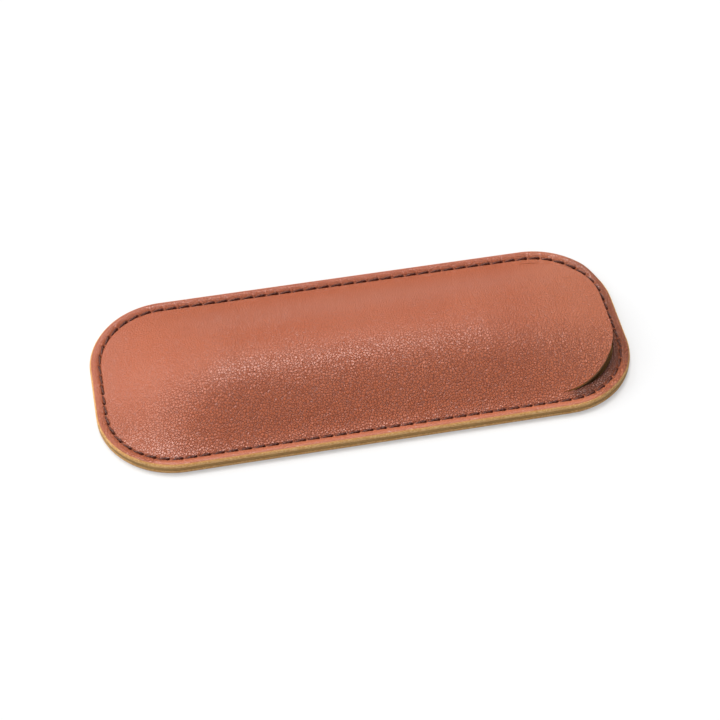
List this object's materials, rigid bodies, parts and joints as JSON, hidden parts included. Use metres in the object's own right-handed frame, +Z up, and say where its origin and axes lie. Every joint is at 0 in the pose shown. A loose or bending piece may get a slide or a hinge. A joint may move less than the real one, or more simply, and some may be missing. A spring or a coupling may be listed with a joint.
{
  "type": "fountain pen case",
  "caption": "Flat-lying sewn leather slip case for one pocket fountain pen, with a moulded dome and a sprung lip that lifts at the mouth.",
  "frame": {"origin": "centre of the bounding box's bottom face, on the surface that the case lies on", "axes": "+X along the case from the closed end to the mouth, +Y across it, +Z up out of the dome"},
  "size_m": [0.13, 0.052, 0.011],
  "materials": {
    "front_leather": "cognac full-grain leather, fine pebbled grain, semi-matte",
    "back_leather": "cognac full-grain leather, fine pebbled grain, semi-matte",
    "suede_lining": "ochre suede, short nap",
    "sewing_thread": "dark brown bonded polyester thread, slight sheen"
  },
  "bodies": {
    "case": {"front_panel": "front_leather", "front_lining": "suede_lining", "back_panel": "back_leather", "back_lining": "suede_lining", "needle_thread": "sewing_thread", "bobbin_thread": "sewing_thread"},
    "lip": {"lip": "front_leather", "lip_lining": "suede_lining"}
  },
  "joints": [
    {"name": "lip_lift", "type": "hinge", "parent": "case", "child": "lip", "pos_m": [0.0451, 0, 0.00875], "axis": [0, -1, 0], "range_deg": [0, 45], "stiffness_Nm_per_rad": 0.01}
  ]
}
